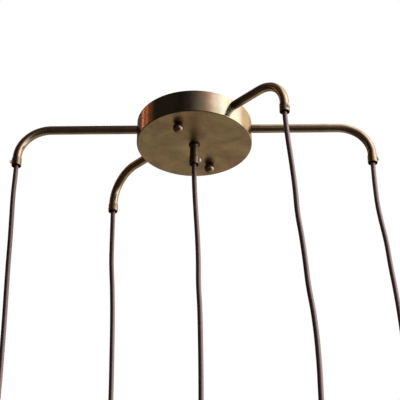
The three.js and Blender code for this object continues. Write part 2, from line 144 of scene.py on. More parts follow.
class LampSizes(PropertyGroup):
    """Sizes of the visible pieces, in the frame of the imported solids"""

    canopy_diameter: measure("Across the canopy's wall", 133)
    canopy_height: measure("From the ceiling to the canopy's flat face", 28.5)
    canopy_wall: measure("Thickness of the spun canopy", 1.2)
    canopy_edge: measure("Rounding between the canopy's face and wall", 1.2)
    arm_drop: measure("From the ceiling to the arms' straight axis", 6.5)
    long_reach: measure("From the middle to the tip of a long arm", 204)
    short_reach: measure("From the middle to the tip of a short arm", 142)
    bend_radius: measure("Of the arms' middle line", 38)
    tube_diameter: measure("Outside of the arms and the stem", 10)
    neck_diameter: measure("Turned-down end that goes through the canopy", 8.4)
    tube_end: measure("Depth of the tubes' lower ends", 45.3)
    grip_diameter: measure("Outside of the cord grips", 11.2)
    mouth_depth: measure("Depth of the cord grips' mouths", 56)
    ball_diameter: measure("Of the two ball nuts", 12)
    stud_spacing: measure("Between the two canopy studs", 89)
    stud_azimuth: FloatProperty(
        description="Direction of the crossbar from +X", default=math.radians(67.5), subtype="ANGLE")
    cord_diameter: measure("Over the cloth braid", 5.6)
    holder_depth: measure("Depth of the lampholders' tops", 420)
    holder_diameter: measure("Across a lampholder's cap", 36)
    holder_height: measure("From a lampholder's neck to its mouth", 65)
    crossbar_length: measure("End to end", 112)
    crossbar_width: measure("Of the flat strap", 20)
    crossbar_thickness: measure("Of the flat strap", 2)
    block_length: measure("Along the crossbar", 36)
    block_width: measure("Across the crossbar", 20)
    block_height: measure("Below the crossbar", 14)
    turn_steps: IntProperty(description="Flats round a turned piece", default=64, min=16, max=256)


class LampFinishes(PropertyGroup):
    """Colours of the finishes"""

    spun_brass: colour("Canopy's polished wall", "#867b64")
    rubbed_face: colour("Middle tone of the patina on the canopy's face", "#86704a")
    tube_brass: colour("Middle tone of the arms' patina", "#8e7f68")
    turned_brass: colour("Grips and ball nuts", "#86765e")
    rubbed_brass: colour("Where edges are rubbed back", "#b3965f")
    deep_patina: colour("Where the patina is thickest", "#3b2d20")
    zinc: colour("Plated steel fastenings", "#b4b6b8")
    ground_green: colour("Dyed ground screw", "#2c6b3c")
    porcelain: colour("Glazed insulators", "#e6e0d4")
    nylon: colour("Clear set screws", "#d8d4ce")
    cord_cloth: colour("Rayon yarn of the braid", "#120c0c")
    # Painted shade: the dark colour that the braid takes between its yarns
    cord_shade: colour("Between the yarns of the braid", "#080606")


class LampStudio(PropertyGroup):
    """Floor and lights"""

    floor_level: FloatProperty(description="Height of the studio floor", default=-3.0, unit="LENGTH")
    soft_lamp: FloatProperty(
        description="Power of the wide lamp on the right", default=100, min=0, unit="POWER")
    fill_lamp: FloatProperty(
        description="Power of the weak lamp on the left", default=10, min=0, unit="POWER")
    ambient: FloatProperty(
        description="Strength of the room's even light", default=0.6, min=0, max=1)
    dome_radius: FloatProperty(
        description="Of the room that the brass reflects", default=1.65, unit="LENGTH")


def at(x, y, z):
    """Moves a shape."""
    return Matrix.Translation((x, y, z))


def turn(degrees, axis):
    """Turns a shape about an axis through the origin."""
    return Matrix.Rotation(math.radians(degrees), 4, axis)


def verts_in(geometry):
    return [item for item in geometry if isinstance(item, bmesh.types.BMVert)]


def edges_in(geometry):
    return [item for item in geometry if isinstance(item, bmesh.types.BMEdge)]


def is_level(edge):
    return abs(edge.verts[0].co.z - edge.verts[1].co.z) < 0.01 * MM


def moved(bm, matrix):
    bmesh.ops.transform(bm, matrix=matrix, verts=bm.verts)
    return bm


def soften(bm, geometry, offset, segments, affect="EDGES"):
    bmesh.ops.bevel(bm, geom=geometry, offset=offset, segments=segments, profile=0.5, affect=affect,
                    material=-1)


def outwards(bm):
    """A shape with its faces turned outwards."""
    bmesh.ops.recalc_face_normals(bm, faces=bm.faces)
    return bm


def turned(profile, steps):
    """A shape turned about Z. The profile is (radius, height) or (radius, height, rounding), in metres. A
    profile that starts and ends on the axis is left open there, and any other is closed into a ring."""
    bm = bmesh.new()
    corners = [bm.verts.new((radius, 0, height)) for radius, height, *_ in profile]
    for start, end in zip(corners, corners[1:]):
        bm.edges.new((start, end))
    if profile[0][0] > 0 or profile[-1][0] > 0:
        bm.edges.new((corners[-1], corners[0]))
    for corner, (_, _, *rounding) in zip(corners, profile):
        if rounding:
            soften(bm, [corner], rounding[0], 4, "VERTICES")
    bmesh.ops.spin(bm, geom=bm.verts[:] + bm.edges[:], cent=(0, 0, 0), axis=(0, 0, 1), angle=math.tau,
                   steps=steps, use_merge=True)
    bmesh.ops.remove_doubles(bm, verts=bm.verts, dist=MERGED)
    return outwards(bm)


def mesh_piece(name, bm, sharp=35):
    """A mesh object at the origin from a shape, smooth except where it turns by more than the sharp angle."""
    mesh = bpy.data.meshes.new(name)
    bm.to_mesh(mesh)
    bm.free()
    mesh.shade_smooth()
    mesh.set_sharp_from_angle(angle=math.radians(sharp))
    piece = bpy.data.objects.new(name, mesh)
    bpy.context.scene.collection.objects.link(piece)
    return piece


def add_piece(name, bm, material, slot, *nodes, body="root", sharp=35):
    """A piece with its finish, on a body, that stands for its solids."""
    piece = mesh_piece(name, bm, sharp)
    piece.data.materials.append(finish(material))
    piece.modifiers.new("weighted normals", "WEIGHTED_NORMAL").keep_sharp = True
    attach(piece, body)
    if nodes:
        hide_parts(*nodes)
    return piece


def refinish(piece, is_part, material):
    """Gives the faces that the test picks another finish."""
    piece.data.materials.append(finish(material))
    for face in piece.data.polygons:
        if is_part(face):
            face.material_index = 1


def looks_down(face):
    return face.normal.z < -0.7


def cut_away(bm, *cutters):
    """A shape with the cutters' shapes taken out of it."""
    whole = mesh_piece("whole", bm)
    tools = [mesh_piece("cutter", cutter) for cutter in cutters]
    for tool in tools:
        cut = whole.modifiers.new("cut", "BOOLEAN")
        cut.operation = "DIFFERENCE"
        cut.solver = "EXACT"
        cut.object = tool
    bpy.context.view_layer.update()
    result = whole.evaluated_get(bpy.context.evaluated_depsgraph_get()).to_mesh()
    left = bmesh.new()
    left.from_mesh(result)
    for item in (whole, *tools):
        mesh = item.data
        bpy.data.objects.remove(item)
        bpy.data.meshes.remove(mesh)
    return left


def smooth_line(points, radius=0):
    """The mesh of a smooth line through points: bare, or a round tube."""
    curve = bpy.data.curves.new("line", "CURVE")
    curve.dimensions = "3D"
    curve.resolution_u = 6
    curve.bevel_depth = radius
    curve.bevel_resolution = 7
    curve.use_fill_caps = True
    spline = curve.splines.new("BEZIER")
    spline.bezier_points.add(len(points) - 1)
    for knot, point in zip(spline.bezier_points, points):
        knot.co = point
        knot.handle_left_type = knot.handle_right_type = "AUTO"
    line = bpy.data.objects.new("line", curve)
    mesh = bpy.data.meshes.new_from_object(line)
    bpy.data.objects.remove(line)
    bpy.data.curves.remove(curve)
    return mesh


def cloth_tube(points, radius):
    """A braided tube along a smooth line, with its centreline. Its UV map counts millimetres along the tube
    and turns round it."""
    centreline = [vertex.co.copy() for vertex in smooth_line(points).vertices]
    length = sum((b - a).length for a, b in zip(centreline, centreline[1:]))
    mesh = smooth_line(points, radius)
    for corner in mesh.uv_layers[0].data:
        corner.uv = (corner.uv[0] * length / MM, corner.uv[1])
    bm = bmesh.new()
    bm.from_mesh(mesh)
    bpy.data.meshes.remove(mesh)
    bmesh.ops.remove_doubles(bm, verts=bm.verts, dist=MERGED)
    return outwards(bm), centreline, length


def rod_profile(r, high, low, pitch):
    """A threaded rod's profile from its top to its tip, for turned()."""
    depth = 0.55 * pitch
    profile = [(0, high), (r - depth, high), (r, high - depth)]
    level = high - depth - 0.4 * pitch
    while level - 0.6 * pitch > low + depth:
        profile += [(r - depth, level), (r, level - 0.4 * pitch), (r, level - 0.6 * pitch)]
        level -= pitch
    return profile + [(r - depth, low), (0, low)]


def box(size, middle):
    bm = bmesh.new()
    bmesh.ops.create_cube(bm, size=1, matrix=at(*middle) @ Matrix.Diagonal((*size, 1)))
    return bm


def pan_screw(r, head, head_length, seat, tip, pitch):
    """A slotted pan head screw driven upwards, its head below the seat."""
    low = seat - head_length
    shank = rod_profile(r, tip, seat, pitch)[:-2]
    screw = turned([
        (0, low), (0.7 * head, low, 0.8 * MM), (head, low + 0.4 * head_length, 0.5 * MM),
        (head, seat, 0.2 * MM), (r, seat), *reversed(shank)], 32)
    return cut_away(screw, box((0.28 * head, 3 * head, 0.9 * head_length), (0, 0, low)))


def raised(bm, rise):
    """A flat shape drawn up into a solid one."""
    top = bmesh.ops.extrude_face_region(bm, geom=bm.faces[:], use_keep_orig=True)["geom"]
    bmesh.ops.translate(bm, verts=verts_in(top), vec=(0, 0, rise))
    return outwards(bm)


def stadium(length, width, low, high):
    """A flat bar along X with round ends, or a round one where its length is its width."""
    bm = bmesh.new()
    bmesh.ops.create_circle(bm, cap_ends=True, segments=48, radius=width / 2, matrix=at(0, 0, low))
    if length > width:
        bmesh.ops.bisect_plane(bm, geom=bm.verts[:] + bm.edges[:] + bm.faces[:], plane_co=(0, 0, 0),
                               plane_no=(1, 0, 0))
        for side in (1, -1):
            half = [vert for vert in bm.verts if side * vert.co.x > 0.001 * MM]
            bmesh.ops.translate(bm, verts=half, vec=(side * (length - width) / 2, 0, 0))
    return raised(bm, high - low)


def hex_nut(across_flats, bore, low, high):
    """A six-sided nut with a bore and softened edges."""
    bm = bmesh.new()
    level = at(0, 0, low) @ turn(30, "Z")
    bmesh.ops.create_circle(bm, segments=6, radius=across_flats / math.sqrt(3), matrix=level)
    bmesh.ops.subdivide_edges(bm, edges=bm.edges[:], cuts=3)
    bmesh.ops.create_circle(bm, segments=24, radius=bore / 2, matrix=level)
    bmesh.ops.bridge_loops(bm, edges=bm.edges[:])
    raised(bm, high - low)
    clear_of_bore = 0.52 * bore + 0.1 * MM
    rims = [edge for edge in bm.edges
            if min(vert.co.xy.length for vert in edge.verts) > clear_of_bore
            and is_level(edge) and edge.calc_face_angle(0) > 1]
    soften(bm, rims, 0.35 * MM, 1)
    return bm


def exit_of(place):
    """Where a cord leaves its grip: the pivot of that pendant's swing."""
    joint = next(j for j in frame["joints"] if j["name"] == f"swing_{place}")
    return Vector(joint["pos_m"])


def foot_of(place):
    """The middle of a lampholder, from the cord's last sway."""
    return exit_of(place) + Vector((CORD_SWAY[place][-1][1] * MM, 0, 0))


def upright_at(point):
    """Moves a shape turned about the middle to stand over a point."""
    return at(point.x, point.y, 0)


def along_arm(place):
    """Turns a shape made along X to an arm's direction."""
    return turn(ARMS.get(place, 0), "Z")


def along_crossbar(sizes, distance):
    """Moves a shape from the middle to a place along the crossbar."""
    return Matrix.Rotation(sizes.stud_azimuth, 4, "Z") @ at(distance, 0, 0)


def reach_of(sizes, place):
    return sizes.long_reach if place in LONG_ARMS else sizes.short_reach


def add_node(tree, kind, inputs=None, stops=None, **settings):
    """Adds a shader node with its settings, its colour stops, and its inputs as values or links."""
    node = tree.nodes.new("ShaderNode" + kind)
    for name, value in settings.items():
        setattr(node, name, value)
    if stops:
        for position, value in stops[len(node.color_ramp.elements):]:
            node.color_ramp.elements.new(position)
        for element, (position, value) in zip(node.color_ramp.elements, stops):
            element.position = position
            element.color = (*value, 1)
    for name, value in (inputs or {}).items():
        if isinstance(value, bpy.types.NodeSocket):
            tree.links.new(value, node.inputs[name])
        else:
            node.inputs[name].default_value = value
    return node


def reckoned(tree, operation, *values):
    """The result of a calculation with values or links."""
    return add_node(tree, "Math", dict(enumerate(values)), operation=operation).outputs[0]


def ranged(tree, value, low, high, to_low=0.0, to_high=1.0):
    """A value taken from one range to another."""
    return add_node(tree, "MapRange", {
        "Value": value, "From Min": low, "From Max": high, "To Min": to_low, "To Max": to_high}).outputs[0]


def mixed(tree, factor, first, second, blend="MIX"):
    return add_node(
        tree, "Mix", {0: factor, 6: first, 7: second}, data_type="RGBA", blend_type=blend).outputs[2]


def ramp(tree, value, stops):
    """A colour that runs through stops as a value rises."""
    return add_node(tree, "ValToRGB", {"Fac": value}, stops=stops).outputs["Color"]


def noise(tree, place, scale, detail, **inputs):
    return add_node(tree, "TexNoise", {"Vector": place, "Scale": scale, "Detail": detail, **inputs}).outputs


def coordinates(tree, kind="Object"):
    return add_node(tree, "TexCoord").outputs[kind]


def parts_of(tree, vector):
    """The X, Y and Z of a vector."""
    return add_node(tree, "SeparateXYZ", {"Vector": vector}).outputs


def surface(tree, inputs):
    """Ends a material with its principled surface."""
    shader = add_node(tree, "BsdfPrincipled", inputs)
    add_node(tree, "OutputMaterial", {"Surface": shader.outputs["BSDF"]})


def relief(tree, strength, height, distance=0.05):
    """Bumps from a height. The distance is in millimetres."""
    return add_node(tree, "Bump", {
        "Strength": strength, "Distance": distance * MM, "Height": height}).outputs["Normal"]


def new_material(name):
    material = bpy.data.materials.new(name)
    material.use_nodes = True
    material.node_tree.nodes.clear()
    return material


def shade(tone, factor):
    return [min(1, channel * factor) for channel in tone]


def glow_tone(code, strength):
    """A glow's colour at the scale of the strongest one."""
    return shade(linear(code), strength / STRONGEST_GLOW)


def aged_brass(tree, tone, roughness, ring_pitch, patch, dim=1.0, wear=0.0, bump=0.02, brushed=0.0,
               round_face=False, edge=1.0):
    """Brass sheet or bar, darkened with a patina, rubbed back by hand and lacquered. The eye gets a warm
    brown metal whose tone drifts in soft patches between olive and red, with fine lathe rings and paler
    rubbed edges. Brushing round the Z axis draws reflections out along it, a round face has its rings round
    its middle, and the edge factor dims what a thick patina shows where it turns away. The rings' pitch and
    the patches' width are in millimetres."""
    colours = bpy.context.scene.lamp_finishes
    tone = shade(tone, dim)
    place = coordinates(tree)
    patches = noise(tree, place, 1 / (patch * MM), 5, Roughness=0.62, Distortion=0.5)["Fac"]
    stains = noise(tree, place, 0.7 / (patch * MM), 3, Roughness=0.5, Distortion=1.2)["Color"]
    stain = parts_of(tree, stains)["Y"]
    # Grit of the rubbing pad, 0.9 mm apart, coarser than the real one so that it shows
    grit = noise(tree, place, 1 / (0.9 * MM), 3, Roughness=0.7)["Fac"]
    across = parts_of(tree, place)["Z"]
    if round_face:
        flat = add_node(tree, "VectorMath", {0: place, 1: (1, 1, 0)}, operation="MULTIPLY").outputs[0]
        across = add_node(tree, "VectorMath", {0: flat}, operation="LENGTH").outputs["Value"]
    rings = add_node(tree, "TexNoise", {
        "W": across, "Scale": 1 / (ring_pitch * MM), "Detail": 3, "Roughness": 0.6},
        noise_dimensions="1D").outputs["Fac"]
    toned = ramp(tree, patches, [
        (0.36, shade(tone, 0.8)), (0.46, shade(tone, 0.95)), (0.54, shade(tone, 1.03)),
        (0.66, shade(tone, 1.2))])
    tint = ramp(tree, stain, [
        (0.38, (0.88, 0.96, 0.78)), (0.47, (0.98, 1, 0.97)), (0.54, (1, 0.97, 0.95)),
        (0.64, (1, 0.84, 0.78))])
    paint = mixed(tree, 0.8, toned, tint, "MULTIPLY")
    paint = mixed(tree, ranged(tree, grit, 0.58, 0.85, to_high=0.14), paint, (*colours.deep_patina, 1))
    paint = mixed(tree, ranged(tree, rings, 0.5, 0.75, to_high=0.14), paint, (*shade(tone, 1.4), 1))
    if wear:
        edges = add_node(tree, "NewGeometry").outputs["Pointiness"]
        paint = mixed(tree, ranged(tree, edges, 0.56, 0.64, to_high=wear), paint, (*colours.rubbed_brass, 1))
    surface(tree, {
        "Base Color": paint, "Metallic": 1,
        "Roughness": ranged(tree, patches, 0.3, 0.7, 1.2 * roughness, 0.8 * roughness),
        "Normal": relief(tree, bump, reckoned(tree, "ADD", rings, grit)),
        "Coat Weight": 0.4 * edge, "Coat Roughness": 0.8 * roughness,
        "Specular Tint": (edge, 0.9 * edge, 0.85 * edge, 1),
        "Anisotropic": brushed, "Anisotropic Rotation": 0.25,
        "Tangent": add_node(tree, "Tangent", direction_type="RADIAL", axis="Z").outputs[0]})


def plain_finish(tree, tone, roughness, metallic, patch, spread=0.12, bump=0.05, **shader_settings):
    """A finish with soft drifts of tone and roughness, patches of so many millimetres, and a faint relief."""
    drift = noise(tree, coordinates(tree), 1 / (patch * MM), 4, Roughness=0.6)["Fac"]
    surface(tree, {
        "Base Color": ramp(tree, drift, [
            (0.3, shade(tone, 1 - spread)), (0.55, tone), (0.75, shade(tone, 1 + spread))]),
        "Metallic": metallic,
        "Roughness": ranged(tree, drift, 0.3, 0.7, roughness * 1.2, roughness * 0.85),
        "Normal": relief(tree, bump, drift), **shader_settings})


def rayon_braid(tree, tone):
    """Rayon yarn braided round a lead: two sets of yarns cross in small diamonds, with a silky side shine."""
    split = parts_of(tree, coordinates(tree, "UV"))
    # Eight yarns each way round the cord, and a crossing every 2.2 mm along it
    yarns, crossing = 8.0, 2.2
    round_it = reckoned(tree, "MULTIPLY", split["Y"], yarns)
    ways = [reckoned(tree, "MULTIPLY_ADD", split["X"], step, round_it)
            for step in (1 / crossing, -1 / crossing)]
    ridges = [reckoned(tree, "ABSOLUTE", reckoned(tree, "SINE", reckoned(tree, "MULTIPLY", way, math.pi)))
              for way in ways]
    diamonds = add_node(tree, "CombineXYZ", {"X": ways[0], "Y": ways[1]}).outputs[0]
    over = add_node(tree, "TexChecker", {"Vector": diamonds, "Scale": 1}).outputs["Fac"]
    height = add_node(tree, "Mix", {0: over, 2: ridges[0], 3: ridges[1]}).outputs[0]
    # Single filaments in a yarn, about 0.3 mm apart
    filament = noise(tree, coordinates(tree), 1 / (0.3 * MM), 2)["Fac"]
    soft = reckoned(tree, "MULTIPLY_ADD", filament, 0.35, height)
    # The colour follows the yarns' height: darkest between the yarns as painted shade, palest on their crests
    # as painted highlight
    surface(tree, {
        "Base Color": ramp(tree, soft, [
            (0.15, bpy.context.scene.lamp_finishes.cord_shade), (0.55, shade(tone, 0.8)), (0.85, tone),
            (1.0, shade(tone, 1.5))]),
        "Roughness": 0.42, "IOR": 1.52, "Specular IOR Level": 0.95, "Specular Tint": (*linear("#ffd0c8"), 1),
        "Normal": relief(tree, 0.5, soft, 0.12), "Coat Weight": 0.35, "Coat Roughness": 0.3,
        "Sheen Weight": 0.02, "Sheen Roughness": 0.4})


# Each finish: its maker, its colour setting, the maker's numbers and what else differs
FINISHES = {
    # The canopy's wall: sheet spun and polished on the lathe, so its reflections run up and down in streaks
    "spun_aged_brass": (
        aged_brass, "spun_brass", 0.17, 0.8, 26, {"wear": 0.4, "bump": 0.005, "brushed": 1.0}),
    # The canopy's flat face: rubbed dull by hand, in wide soft patches
    "rubbed_aged_brass": (
        aged_brass, "rubbed_face", 0.4, 0.8, 26, {"wear": 0.4, "bump": 0.03, "round_face": True}),
    # Drawn and bent tube, rubbed back by hand in patches 16 mm wide
    "drawn_aged_brass": (aged_brass, "tube_brass", 0.24, 3, 16, {"edge": 0.6}),
    # Bar turned on a lathe: fine tool rings draw a narrow shine up and down the piece
    "lathe_turned_brass": (aged_brass, "turned_brass", 0.31, 0.5, 8, {"brushed": 1.0, "edge": 0.6}),
    # Turned brass buffed all ways after its patina, so that its shines are small and round
    "buffed_aged_brass": (aged_brass, "turned_brass", 0.3, 0.5, 8, {"edge": 0.35}),
    # Brass painted nearly black and dull as painted shade: the washer in the joint under the canopy, and the
    # grips' mouths and undersides
    "blackened_brass": (aged_brass, "tube_brass", 0.5, 0.5, 6, {"dim": 0.18, "edge": 0.3}),
    # Stamped brass with no patina: clear yellow metal with faint marks
    "stamped_brass": (plain_finish, "rubbed_brass", 0.28, 1, 2, {"bump": 0.1}),
    # Bright zinc on steel: pale grey, with a spangle a few millimetres across
    "zinc_plated_steel": (plain_finish, "zinc", 0.32, 1, 3, {"bump": 0.2}),
    # Dyed zinc on the ground screw: green over metal
    "green_dyed_steel": (plain_finish, "ground_green", 0.35, 0.8, 2, {}),
    # Fired and glazed porcelain: warm white under a clear hard gloss
    "glazed_porcelain": (
        plain_finish, "porcelain", 0.22, 0, 9,
        {"spread": 0.05, "IOR": 1.5, "Coat Weight": 0.5, "Coat Roughness": 0.08}),
    # Moulded natural nylon: milky and half clear, with a soft shine
    "moulded_nylon": (
        plain_finish, "nylon", 0.35, 0, 1.5,
        {"spread": 0.04, "IOR": 1.53, "Subsurface Weight": 0.4, "Subsurface Scale": 1 * MM}),
    "rayon_braid": (rayon_braid, "cord_cloth", {}),
}


def finish(name):
    """The material of a finish, made when it is first asked for."""
    material = bpy.data.materials.get(name)
    if material is None:
        maker, setting, *numbers, others = FINISHES[name]
        material = new_material(name)
        tone = getattr(bpy.context.scene.lamp_finishes, setting)
        maker(material.node_tree, tone, *numbers, **others)
    return material


class LampPieces:
    """What every operator that builds pieces does"""

    def execute(self, context):
        self.build(context.scene.lamp_sizes)
        return {"FINISHED"}


def facing(azimuth, elevation, distance):
    """Looks at the lamp from a direction: azimuth from -Y towards +X, elevation above the floor."""
    up = math.radians(elevation)
    return turn(azimuth, "Z") @ at(0, -distance * math.cos(up), distance * math.sin(up)) @ turn(
        90 - elevation, "X")


def seen_directly(tree):
    """1 for rays from the camera, for reflections and for light let through, and 0 for the light that
    falls on things."""
    rays = add_node(tree, "LightPath").outputs
    seen = reckoned(tree, "MAXIMUM", rays["Is Camera Ray"], rays["Is Glossy Ray"])
    return reckoned(tree, "MAXIMUM", seen, rays["Is Transmission Ray"])


def reflection(name, bm, tone_in):
    """A glowing surface that only reflections see. tone_in gives its colour's socket for its shader tree,
    at the scale of the strongest glow."""
    field = mesh_piece(name, bm)
    material = new_material(name)
    tree = material.node_tree
    glow = add_node(tree, "Emission", {"Color": tone_in(tree), "Strength": STRONGEST_GLOW})
    add_node(tree, "OutputMaterial", {"Surface": glow.outputs[0]})
    field.data.materials.append(material)
    field.visible_camera = field.visible_diffuse = field.visible_shadow = False
    field.visible_transmission = field.visible_volume_scatter = False


def place_camera(scene):
    """Stands below the lamp and looks up at it."""
    camera = bpy.data.cameras.new("camera")
    camera.sensor_width = 36
    camera.lens = CAMERA_LENS
    camera.clip_end = 100
    view = bpy.data.objects.new("camera", camera)
    view.matrix_world = at(*CAMERA_PLACE) @ turn(CAMERA_HEADING, "Z") @ turn(
        90 + CAMERA_LIFT, "X") @ turn(CAMERA_ROLL, "Z")
    scene.collection.objects.link(view)
    scene.camera = view


def place_floor(studio):
    """A pale floor far below, as in a high room. It shows paler than it is lit, and keeps the shadow."""
    radius, lift, paint = 40, 0.4, (*linear("#e8e6e2"), 1)
    bm = bmesh.new()
    bmesh.ops.create_circle(bm, cap_ends=True, radius=radius, segments=64)
    floor = mesh_piece("floor", moved(bm, at(0, 0, studio.floor_level)))
    material = new_material("painted_floor")
    tree = material.node_tree
    surface(tree, {
        "Base Color": paint, "Roughness": 0.9, "Specular IOR Level": 0.1, "Emission Color": paint,
        "Emission Strength": reckoned(tree, "MULTIPLY", seen_directly(tree), lift)})
    floor.data.materials.append(material)


def place_lights(studio):
    """A wide soft lamp on the right and a weak one on the left, for cloth, nylon and porcelain. Each has its
    width and height in metres, then its azimuth, elevation and distance."""
    for name, power, size, place in (
            ("soft_lamp", studio.soft_lamp, (2.1, 1.1), (62, 25, 2.4)),
            ("fill_lamp", studio.fill_lamp, (1.4, 1.4), (-60, -10, 2.6))):
        light = bpy.data.lights.new(name, "AREA")
        light.shape = "RECTANGLE"
        light.size, light.size_y = size
        light.energy = power
        lamp = bpy.data.objects.new(name, light)
        lamp.matrix_world = facing(*place)
        lamp.visible_camera = lamp.visible_glossy = False
        bpy.context.scene.collection.objects.link(lamp)


def place_dome(studio):
    """The room all round: its walls, a ceiling lit on the right, a floor lit behind and on the right."""
    def tone_in(tree):
        direction = add_node(tree, "VectorMath", {0: coordinates(tree)}, operation="NORMALIZE").outputs[0]
        x, y, z = parts_of(tree, direction)
        azimuth = reckoned(tree, "ARCTAN2", x, reckoned(tree, "MULTIPLY", y, -1.0))
        walls = ramp(tree, ranged(tree, azimuth, -math.pi, math.pi), [
            ((degrees + 180) / 360, glow_tone(*tone)) for degrees, *tone in ROOM_ROUND])
        behind = ranged(tree, reckoned(tree, "MULTIPLY_ADD", x, 0.8, y), 0, 0.8)
        floor = mixed(tree, behind, (*glow_tone("#ffd4c0", 0.08), 1), (*glow_tone("#fcf4ea", 0.76), 1))
        floor = mixed(tree, ranged(tree, x, 0.82, 0.97), floor, (*glow_tone("#fff4ec", 2.5), 1))
        ceiling = ramp(tree, ranged(tree, x, -1, 1), [
            (0.2, glow_tone("#ffe8dc", 0.36)), (0.32, glow_tone("#ffe8dc", 0.2)),
            (0.46, glow_tone("#ffecd8", 0.08)), (0.6, glow_tone("#fff4f0", 2.8))])
        low = mixed(tree, ranged(tree, z, -0.36, -0.06), floor, walls)
        return mixed(tree, ranged(tree, z, 0.68, 0.86), low, ceiling)

    bm = bmesh.new()
    bmesh.ops.create_uvsphere(bm, u_segments=64, v_segments=32, radius=studio.dome_radius)
    reflection("room_dome", bm, tone_in)


def place_boards():
    """A small upright card on the left with the warm boards' stripes."""
    def tone_in(tree):
        across = parts_of(tree, coordinates(tree, "UV"))["X"]
        return ramp(tree, across, [(place, glow_tone(*tone)) for place, *tone in WARM_BOARDS])

    bm = bmesh.new()
    bm.loops.layers.uv.verify()
    bmesh.ops.create_grid(bm, x_segments=1, y_segments=1, size=0.5, calc_uvs=True)
    upright = turn(90, "X") @ Matrix.Diagonal((*CARD_SIZE, 1, 1))
    reflection("warm_boards", moved(bm, at(*CARD_PLACE) @ turn(CARD_TURN, "Z") @ upright), tone_in)


def light_room(scene, studio):
    """White where it is seen, and a weaker even light on the lamp."""
    world = bpy.data.worlds.new("room")
    scene.world = world
    world.use_nodes = True
    tree = world.node_tree
    tree.nodes.clear()
    strength = add_node(tree, "Mix", {0: seen_directly(tree), 2: studio.ambient, 3: 1.0}).outputs[0]
    room = add_node(tree, "Background", {"Color": (1, 1, 1, 1), "Strength": strength})
    add_node(tree, "OutputWorld", {"Surface": room.outputs[0]})


class LAMP_OT_stage(Operator):
    """Sets up the camera, the pale floor, the soft lights and the room that the brass reflects"""

    bl_idname = "lamp.stage"
    bl_label = "Studio and camera"

    def execute(self, context):
        studio = context.scene.lamp_studio
        place_camera(context.scene)
        place_floor(studio)
        place_lights(studio)
        place_dome(studio)
        place_boards()
        light_room(context.scene, studio)
        context.scene.view_settings.view_transform = "Standard"
        return {"FINISHED"}


class LAMP_OT_cords(LampPieces, Operator):
    bl_idname = "lamp.cords"
    bl_label = "Cords"

    def build(self, sizes):
        for place in PLACES:
            start, foot = exit_of(place), foot_of(place)
            points = [start + Vector((0, 0, 2.8 * MM)), start]
            points += [start + Vector((aside * MM, 0, -depth * MM)) for depth, aside in CORD_SWAY[place]]
            points.append(Vector((foot.x, foot.y, -sizes.holder_depth - 6 * MM)))
            tube, centreline, length = cloth_tube(points, sizes.cord_diameter / 2)
            cord = mesh_piece(f"cloth_cord_{place}", tube)
            cord.data.materials.append(finish("rayon_braid"))
            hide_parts(f"cord_{place}")
            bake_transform(cord)
            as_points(centreline)


def cap(sizes):
    """A spun dome with a neck for the cord, a skirt and a bead round it."""
    top, r = -sizes.holder_depth, sizes.holder_diameter / 2
    neck, bore, wall = 5.75 * MM, 3.1 * MM, 0.9 * MM
    low, shoulder, bead = top - 31 * MM, top - 9 * MM, r + 0.35 * MM
    return turned([
        (bore, top, 0.3 * MM), (neck, top, 0.6 * MM), (neck, shoulder, 1.5 * MM),
        (r, shoulder, 11.5 * MM), (r, low + 4.4 * MM), (bead, low + 3.9 * MM, 0.3 * MM),
        (bead, low + 2.7 * MM, 0.3 * MM), (r, low + 2.2 * MM), (r, low, 0.3 * MM), (r - wall, low),
        (r - wall, shoulder - wall, 10.6 * MM), (bore, shoulder - wall)], sizes.turn_steps)


def shell(sizes):
    """A thin sleeve in the cap, with two beads and a rolled lip at its mouth."""
    r, end = sizes.holder_diameter / 2 - 1.2 * MM, -sizes.holder_depth - sizes.holder_height
    top, wall, lip = -sizes.holder_depth - 26 * MM, 0.9 * MM, r + 0.8 * MM
    beads = []
    for level in (end + 27 * MM, end + 23.5 * MM):
        beads += [(r, level + 0.9 * MM), (r + 0.45 * MM, level, 0.3 * MM), (r, level - 0.9 * MM)]
    return turned([
        (r - wall, top), (r, top), *beads, (r, end + 2.3 * MM, 0.5 * MM), (lip, end + 1.7 * MM, 0.4 * MM),
        (lip, end + 0.4 * MM, 0.4 * MM), (r + 0.4 * MM, end, 0.3 * MM), (r - wall, end, 0.3 * MM)],
        sizes.turn_steps)


def core(sizes):
    """A glazed cup that carries the screw shell."""
    r, bore = 15.6 * MM, 13 * MM
    top, seat, end = (-sizes.holder_depth - drop * MM for drop in (22, 31, 63))
    return turned([
        (0, top), (r - 2 * MM, top, 0.8 * MM), (r, top - 4.3 * MM, 0.8 * MM), (r, end, 0.7 * MM),
        (bore, end, 0.5 * MM), (bore, seat, 0.6 * MM), (0, seat)], sizes.turn_steps)


def screw_shell(sizes):
    """Thin rolled thread, 3.6 mm a turn, that a lamp's cap screws into."""
    outer, depth, pitch, wall = 12.9 * MM, 0.9 * MM, 3.6 * MM, 0.35 * MM
    high, low = (-sizes.holder_depth - drop * MM for drop in (34, 61.5))
    outside = [(outer, high)]
    level = high - pitch / 2
    while level - pitch / 2 > low:
        outside += [(outer - depth, level, 0.6 * MM), (outer, level - pitch / 2, 0.6 * MM)]
        level -= pitch
    outside.append((outer - 0.1 * MM, low))
    inside = [(radius - wall, height, *rounding) for radius, height, *rounding in reversed(outside)]
    return turned(outside + inside, sizes.turn_steps)


def contact(sizes):
    """The domed middle contact on the cup's seat."""
    seat, r = -sizes.holder_depth - 31 * MM, 5.5 * MM
    return turned([
        (0, seat - 2.4 * MM), (2.6 * MM, seat - 2.2 * MM, 0.8 * MM), (3.4 * MM, seat - 0.8 * MM, 0.4 * MM),
        (r, seat - 0.7 * MM, 0.2 * MM), (r, seat + 0.1 * MM), (0, seat + 0.1 * MM)], 32)


